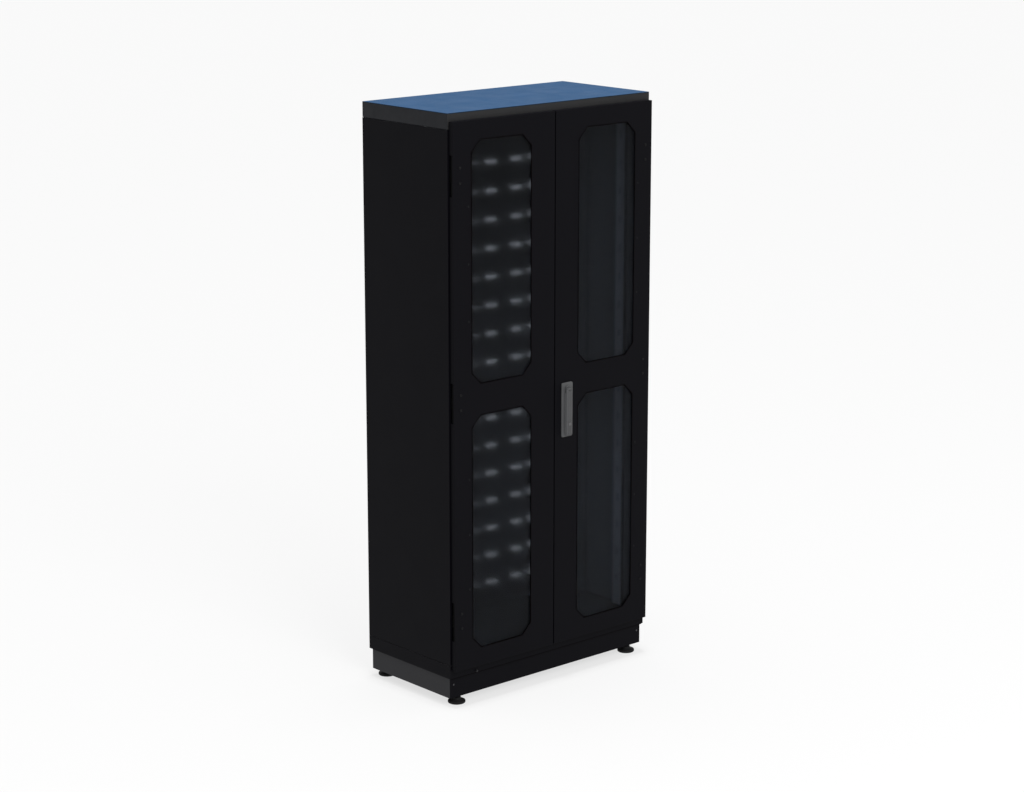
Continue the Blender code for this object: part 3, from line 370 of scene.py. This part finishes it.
def moulded(name, colour, rough, sheen, flank_light=None):
    """Moulded or cast part with a satin grain. A flank factor makes the faces along x that much lighter:
    painted light.
    """
    finish = Finish(name)
    clouds = finish.spread(finish.noise(per_metre=24, detail=4), NOISE_SPAN, to=(0, 1))
    tone = finish.mix(clouds, shade(colour, 0.90), shade(colour, 1.10))
    # Painted light on the faces along x
    if flank_light:
        tone = finish.mix(finish.facing("X"), tone, shade(colour, flank_light))
    roughness = finish.spread(finish.noise(per_metre=120, detail=3), NOISE_SPAN, to=rough)
    normal = finish.bump(finish.noise(per_metre=1400, detail=2), strength=0.30, distance=0.0002)
    finish.set(Base_Color=tone, Roughness=roughness, Normal=normal, Specular_IOR_Level=sheen)
    return finish.material


def plated(name, colour, rough, stretch=EVEN):
    """Bare or plated steel: drawn streaks, patches of thinner plating and fine scratches."""
    finish = Finish(name)
    streaks = finish.spread(finish.noise(per_metre=900, detail=3, stretch=stretch), NOISE_SPAN, to=(0, 1))
    tone = finish.mix(streaks, shade(colour, 0.86), shade(colour, 1.08))
    patches = finish.spread(finish.noise(per_metre=45, detail=4), (0.45, 0.8), to=(0, 0.5))
    tone = finish.mix(patches, tone, shade(colour, 0.72))
    roughness = finish.spread(finish.noise(per_metre=300, detail=3, stretch=stretch), NOISE_SPAN, to=rough)
    scratches = finish.noise(per_metre=1500, detail=2, stretch=stretch)
    normal = finish.bump(scratches, strength=0.12, distance=0.0002)
    finish.set(Base_Color=tone, Roughness=roughness, Normal=normal, Metallic=1.0)
    return finish.material


FINISHES = {
    "black_paint": powder_coat("black_powder_coat", BLACK, PAINT_SHEEN),
    "grey_paint": powder_coat("grey_powder_coat", GREY, GREY_SHEEN),
    "board_edge": edge_band("board_edge_band"),
    "blue_mat": mat_sheet("blue_mat_sheet"),
    "frosted_pane": frosted("frosted_glazing"),
    # Near-black rubber, which also paints shade on the window beads and in the seam strips
    "seal_rubber": rubber("edge_rubber_and_shade_black", BEAD_AND_SHADE_BLACK),
    "handle_grey": moulded("handle_satin_grey", HANDLE, rough=(0.36, 0.48), sheen=0.3),
    "foot_plastic": moulded("foot_black_plastic", PLASTIC, rough=(0.55, 0.70), sheen=0.08),
    "guide_plastic": moulded("guide_black_plastic", PLASTIC, rough=(0.45, 0.60), sheen=0.3),
    "hinge_black": moulded("black_oxide_steel", OXIDE, rough=(0.42, 0.56), sheen=0.08),
    "zinc": plated("zinc_plated_steel", ZINC, rough=(0.28, 0.44), stretch=DRAWN_UP),
    "bright_steel": plated("polished_steel", STEEL, rough=(0.16, 0.28)),
}


def dress_solids():
    looks = {"hinge_leaf": moulded("hinge_oxide_steel", HINGE, rough=(0.50, 0.62), sheen=0.03)}
    looks["hinge_bracket"] = looks["hinge_leaf"]
    # The lever, with painted light on its faces along x
    lever = moulded("lever_satin_grey_lit_flanks", LEVER, rough=(0.36, 0.48), sheen=0.3, flank_light=LEVER_FLANK_LIGHT)
    looks["handle_lever"] = lever
    looks["seal"] = rubber("seal_rubber_grey", SEAL)
    looks["earth_stud"] = plated("dull_steel", DULL, rough=(0.35, 0.50))
    # Interior linings, with painted light and shade per part, by height and by facing
    for part, light_shares in INSIDE_LIGHT_SHARES.items():
        looks[part] = powder_coat("powder_coat_painted_light_" + part, BLACK, PAINT_SHEEN, light_shares)
    for part, light_shares in UPRIGHT_LIGHT_SHARES.items():
        looks[part] = powder_coat("powder_coat_painted_light_" + part, GREY, PAINT_SHEEN, light_shares, UPRIGHT_SHADE_SHARE)
    for row in frame["record"]["subparts"]:
        node = frame["nodes"][row["node"]]
        finish = FINISHES[row["material_slot"]]
        for part, look in looks.items():
            if row["node"].endswith(part):
                finish = look
        node.data.materials.clear()
        node.data.materials.append(finish)


# Mesh helpers


def ring(radius, height, corners=0, ribbed=0, points=RING_POINTS):
    """A ring of points: a circle, a regular polygon of that many corners, or a ribbed rim."""
    outline = []
    for step in range(points):
        turn = 2 * math.pi * step / points
        reach = radius
        if corners:
            half = math.pi / corners
            reach *= math.cos(half) / math.cos(turn % (2 * half) - half)
        if ribbed and step * PAD_RIBS * 2 // points % 2:
            reach *= 1 - PAD_RIB_DEPTH
        outline.append(Vector((reach * math.cos(turn), reach * math.sin(turn), height)))
    return outline


def add_stack(shape, rows, place, facing, turn=0.0, points=RING_POINTS):
    """Adds a closed solid of stacked rings that stands on a place and points along facing."""
    spin = Matrix.Rotation(turn, 4, "Z") @ Matrix.Scale(MILLIMETRE, 4)
    matrix = Matrix.Translation(place) @ Vector(facing).to_track_quat("Z", "Y").to_matrix().to_4x4() @ spin
    rings = []
    for row in rows:
        rings.append([shape.verts.new(matrix @ point) for point in ring(*row, points=points)])
    for near, far in zip(rings, rings[1:]):
        for here in range(points):
            there = (here + 1) % points
            shape.faces.new((near[here], near[there], far[there], far[here]))
    shape.faces.new(rings[0][::-1])
    shape.faces.new(rings[-1])


def add_piece(name, shape, body, slot, look=None):
    mesh = bpy.data.meshes.new(name)
    shape.to_mesh(mesh)
    shape.free()
    mesh.shade_smooth()
    mesh.set_sharp_from_angle(angle=SMOOTH_ANGLE)
    mesh.materials.append(look or FINISHES[slot])
    piece = bpy.data.objects.new(name, mesh)
    bpy.context.scene.collection.objects.link(piece)
    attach(piece, body)
    return piece


def fittings(name, rows, places, facing, body, slot, look=None):
    """One piece of several equal fasteners, each turned by a different angle."""
    shape = bmesh.new()
    for count, place in enumerate(places):
        add_stack(shape, rows, place, facing, count * SCREW_TURN)
    add_piece(name, shape, body, slot, look)


# Fittings


def door_fittings(name, side):
    """Hinge screws and nuts, glazing rivets, and the nuts of the retaining frames."""
    body = name + "_door"
    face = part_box(name + "_door_shell")[0].y
    screws = []
    for place in HINGE_PLACES:
        low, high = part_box(f"{name}_{place}_hinge_leaf")
        x = (high.x if side < 0 else low.x) + side * HINGE_SCREW_INSET
        middle = (low.z + high.z) / 2
        screws += [Vector((x, face, middle + up * HINGE_SCREW_SPREAD)) for up in (-1, 1)]
    fittings(name + "_door_hinge_screws", BUTTON_SCREW, screws, FRONT, body, "hinge_black")
    nuts = [Vector((screw.x, face + HINGE_LEAF_DEPTH, screw.z)) for screw in screws]
    fittings(name + "_door_hinge_nuts", NUT, nuts, BACK, body, "zinc")
    rivets = []
    nuts = []
    for window in ("upper", "lower"):
        low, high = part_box(f"{name}_{window}_retainer")
        outer, inner = (low.x, high.x) if side < 0 else (high.x, low.x)
        middle = (low.z + high.z) / 2
        for step in (-1, 0, 1):
            z = middle + step * GLAZING_SPREAD
            rivets.append(Vector((outer - side * GLAZING_INSET, face, z)))
            nuts.append(Vector((outer - side * GLAZING_INSET, high.y, z)))
            nuts.append(Vector((inner + side * GLAZING_INSET, high.y, z)))
        for z in (low.z + GLAZING_INSET, high.z - GLAZING_INSET):
            nuts.append(Vector(((outer + inner) / 2, high.y, z)))
    fittings(name + "_door_glazing_rivets", RIVET, rivets, FRONT, body, "hinge_black")
    fittings(name + "_door_glazing_nuts", NUT, nuts, BACK, body, "zinc")


def window_outline(x_range, z_range, grow):
    """A window's outline with 45 degree corners, moved out by grow on every side."""
    (a, b), (c, d) = x_range, z_range
    a, b, c, d = a - grow, b + grow, c - grow, d + grow
    leg = WINDOW_CHAMFER + grow * (2 - math.sqrt(2))
    lower = [(a, c + leg), (a + leg, c), (b - leg, c), (b, c + leg)]
    upper = [(b, d - leg), (b - leg, d), (a + leg, d), (a, d - leg)]
    return lower + upper


def window_beads(name):
    """Rubber edge beads that cover the cut edges of a door's windows, near-black so that they also paint the
    shade along them.
    """
    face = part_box(name + "_door_shell")[0].y
    for window in ("upper", "lower"):
        low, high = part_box(f"{name}_{window}_pane")
        x_range = (low.x + WINDOW_LAP, high.x - WINDOW_LAP)
        z_range = (low.z + WINDOW_LAP, high.z - WINDOW_LAP)
        shape = bmesh.new()
        loops = []
        for grow, out in BEAD:
            outline = window_outline(x_range, z_range, grow * MILLIMETRE)
            loops.append([shape.verts.new((x, face - out * MILLIMETRE, z)) for x, z in outline])
        for near, far in zip(loops, loops[1:] + loops[:1]):
            for here in range(len(near)):
                there = (here + 1) % len(near)
                shape.faces.new((near[here], near[there], far[there], far[here]))
        bmesh.ops.recalc_face_normals(shape, faces=shape.faces)
        add_piece(f"{name}_{window}_window_bead", shape, name + "_door", "seal_rubber")


def hinge_pin_caps(name, side):
    shape = bmesh.new()
    for place in HINGE_PLACES:
        low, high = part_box(f"{name}_{place}_hinge_leaf")
        x = (low.x if side < 0 else high.x) - side * HINGE_KNUCKLE
        y = high.y - HINGE_KNUCKLE
        add_stack(shape, PIN_CAP, Vector((x, y, high.z)), UP)
        add_stack(shape, PIN_CAP, Vector((x, y, low.z)), DOWN)
    add_piece(name + "_hinge_pin_caps", shape, "carcass", "hinge_black")


def plinth_screws():
    look = plated("dark_zinc_steel", DARK_ZINC, rough=(0.35, 0.50))
    for end, facing in (("front", FRONT), ("back", BACK)):
        low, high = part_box("plinth_" + end)
        y = low.y if facing == FRONT else high.y
        z = low.z + PLINTH_SCREW_RISE
        places = [Vector((x, y, z)) for x in (low.x + PLINTH_SCREW_INSET, high.x - PLINTH_SCREW_INSET)]
        fittings(f"plinth_{end}_screws", PAN_SCREW, places, facing, "carcass", "zinc", look)


def add_shade_strip(name, low, high):
    """A near-black strip of painted shade between two corners, with eased edges."""
    shape = bmesh.new()
    bmesh.ops.create_cube(shape, size=1.0)
    bmesh.ops.scale(shape, vec=high - low, verts=shape.verts)
    bmesh.ops.translate(shape, vec=(low + high) / 2, verts=shape.verts)
    bmesh.ops.bevel(shape, geom=shape.edges[:], offset=STRIP_EASE, segments=2, affect="EDGES")
    add_piece(name, shape, "carcass", "seal_rubber")


def seam_shade_strips():
    """Near-black strips of painted shade in the seams of the base: below it along the plinth, and above it
    under each side panel.
    """
    base_low, base_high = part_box("base_tray")
    low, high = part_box("plinth_front")
    top = base_low.z - STRIP_PLAY
    corner = Vector((low.x, base_low.y + STRIP_SETBACK, top - STRIP_HEIGHT))
    add_shade_strip("plinth_front_shade_strip", corner, Vector((high.x, low.y - STRIP_PLAY, top)))
    for name, side in SIDES.items():
        low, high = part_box(name + "_side_panel")
        outer = side * (base_high.x - STRIP_SETBACK)
        left, right = sorted((outer, outer - side * STRIP_WIDTH))
        corner = Vector((left, low.y + STRIP_SETBACK, base_high.z + STRIP_PLAY))
        add_shade_strip(name + "_side_shade_strip", corner, Vector((right, high.y - STRIP_SETBACK, low.z - STRIP_PLAY)))


def back_rivets():
    low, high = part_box("back_panel")
    left, right = low.x + BACK_RIVET_INSET, high.x - BACK_RIVET_INSET
    bottom, top = low.z + BACK_RIVET_INSET, high.z - BACK_RIVET_INSET
    places = []
    for row in range(BACK_RIVET_ROWS):
        z = bottom + (top - bottom) * row / (BACK_RIVET_ROWS - 1)
        places += [Vector((left, high.y, z)), Vector((right, high.y, z))]
    for column in range(1, BACK_RIVET_COLUMNS - 1):
        x = left + (right - left) * column / (BACK_RIVET_COLUMNS - 1)
        places += [Vector((x, high.y, bottom)), Vector((x, high.y, top))]
    fittings("back_panel_rivets", RIVET, places, BACK, "carcass", "hinge_black")


def upright_screws(name, side):
    for place in ("front", "rear"):
        low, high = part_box(f"{name}_{place}_upright")
        x = high.x if side < 0 else low.x
        places = [Vector((x, (low.y + high.y) / 2, low.z + rise)) for rise in UPRIGHT_SCREW_RISES]
        fittings(f"{name}_{place}_upright_screws", SMALL_SCREW, places, (-side, 0, 0), "carcass", "zinc")


def door_bumpers():
    """Plastic buttons that the closing edges of the doors land on."""
    places = []
    roof_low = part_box("roof_panel")[0]
    base_low, base_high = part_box("base_tray")
    for side in SIDES.values():
        places.append(Vector((side * BUMPER_SPREAD, roof_low.y, roof_low.z + BUMPER_INSET)))
        places.append(Vector((side * BUMPER_SPREAD, base_low.y, base_high.z - BUMPER_INSET)))
    fittings("door_bumpers", BUMPER, places, FRONT, "carcass", "guide_plastic")


def lock_screws():
    low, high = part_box("lock_case")
    middle = (low + high) / 2
    across, up = CASE_SCREW_SPREAD
    places = []
    for right in (-1, 1):
        places += [Vector((middle.x + right * across, high.y, middle.z + rise)) for rise in (-up, up)]
    fittings("lock_case_screws", SMALL_SCREW, places, BACK, "right_door", "zinc")


def guide_screws():
    for kind, body in (("rod", "right_door"), ("bolt", "left_door")):
        places = []
        for level in ("upper", "lower"):
            low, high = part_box(f"{level}_{kind}_guide")
            middle = (low + high) / 2
            for right in (-1, 1):
                places.append(Vector((middle.x + right * GUIDE_SCREW_SPREAD, high.y, middle.z)))
        fittings(f"{kind}_guide_screws", SMALL_SCREW, places, BACK, body, "zinc")


def foot(name):
    """A ribbed pad and its neck in place of the plain foot, and a nut on a threaded stem."""
    low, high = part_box(name + "_foot")
    place = Vector(((low.x + high.x) / 2, (low.y + high.y) / 2, 0))
    body = name + "_leveller"
    shape = bmesh.new()
    add_stack(shape, PAD, place, UP, points=PAD_POINTS)
    pad = add_piece(name + "_foot_pad", shape, body, "foot_plastic")
    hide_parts(name + "_foot")
    rows = list(STEM_NUT)
    turns = int((STEM_END - STEM_START) / STEM_PITCH)
    for turn in range(turns):
        height = STEM_START + turn * STEM_PITCH
        rows += [(STEM_ROOT, height), (STEM_CREST, height + STEM_PITCH / 2)]
    rows += [(STEM_ROOT, STEM_END), (STEM_ROOT - 1, STEM_END + 1)]
    shape = bmesh.new()
    add_stack(shape, rows, place, UP)
    add_piece(name + "_foot_stem", shape, body, "hinge_black")


def fit_out():
    for name, side in SIDES.items():
        door_fittings(name, side)
        window_beads(name)
        hinge_pin_caps(name, side)
        upright_screws(name, side)
        for place in ("front", "rear"):
            foot(f"{name}_{place}")
    plinth_screws()
    # Painted shade in the seams of the base
    seam_shade_strips()
    back_rivets()
    door_bumpers()
    lock_screws()
    guide_screws()


# Studio


def add_light(name, kind, energy, place, aim, **settings):
    data = bpy.data.lights.new(name, kind)
    data.energy = energy
    for key, value in settings.items():
        setattr(data, key, value)
    lamp = bpy.data.objects.new(name, data)
    lamp.location = place
    lamp.rotation_mode = "QUATERNION"
    lamp.rotation_quaternion = (Vector(aim) - Vector(place)).to_track_quat("-Z", "Y")
    bpy.context.scene.collection.objects.link(lamp)


def studio():
    scene = bpy.context.scene
    scene.view_settings.view_transform = "Standard"
    mesh = bpy.data.meshes.new("studio_floor")
    shape = bmesh.new()
    corners = [(-1, -1), (1, -1), (1, 1), (-1, 1)]
    shape.faces.new([shape.verts.new((x * FLOOR_HALF, y * FLOOR_HALF, 0)) for x, y in corners])
    shape.to_mesh(mesh)
    shape.free()
    floor = bpy.data.objects.new("studio_floor", mesh)
    scene.collection.objects.link(floor)
    finish = Finish("studio_floor")
    finish.set(Base_Color=FLOOR_TONE, Roughness=FLOOR_ROUGHNESS, Specular_IOR_Level=0.0)
    finish.set(Emission_Color=WHITE, Emission_Strength=FLOOR_GLOW)
    mesh.materials.append(finish.material)
    world = bpy.data.worlds.new("studio")
    world.use_nodes = True
    background = world.node_tree.nodes["Background"]
    background.inputs["Color"].default_value = WHITE
    background.inputs["Strength"].default_value = WORLD_STRENGTH
    scene.world = world
    add_light("key", "AREA", KEY_POWER, KEY_PLACE, KEY_AIM, size=KEY_SIZE)
    add_light("overhead", "SUN", OVERHEAD_STRENGTH, OVERHEAD_PLACE, OVERHEAD_AIM, angle=OVERHEAD_SPREAD)


def camera():
    scene = bpy.context.scene
    data = bpy.data.cameras.new("camera")
    data.lens = CAMERA_LENS
    data.sensor_width = CAMERA_SENSOR
    data.clip_end = CAMERA_REACH
    thing = bpy.data.objects.new("camera", data)
    turn, rise = math.radians(CAMERA_AZIMUTH), math.radians(CAMERA_ELEVATION)
    back = Vector((math.sin(turn) * math.cos(rise), -math.cos(turn) * math.cos(rise), math.sin(rise)))
    thing.location = CAMERA_PLACE
    thing.rotation_mode = "QUATERNION"
    thing.rotation_quaternion = (-back).to_track_quat("-Z", "Y")
    scene.collection.objects.link(thing)
    scene.camera = thing


dress_solids()
fit_out()
studio()
camera()
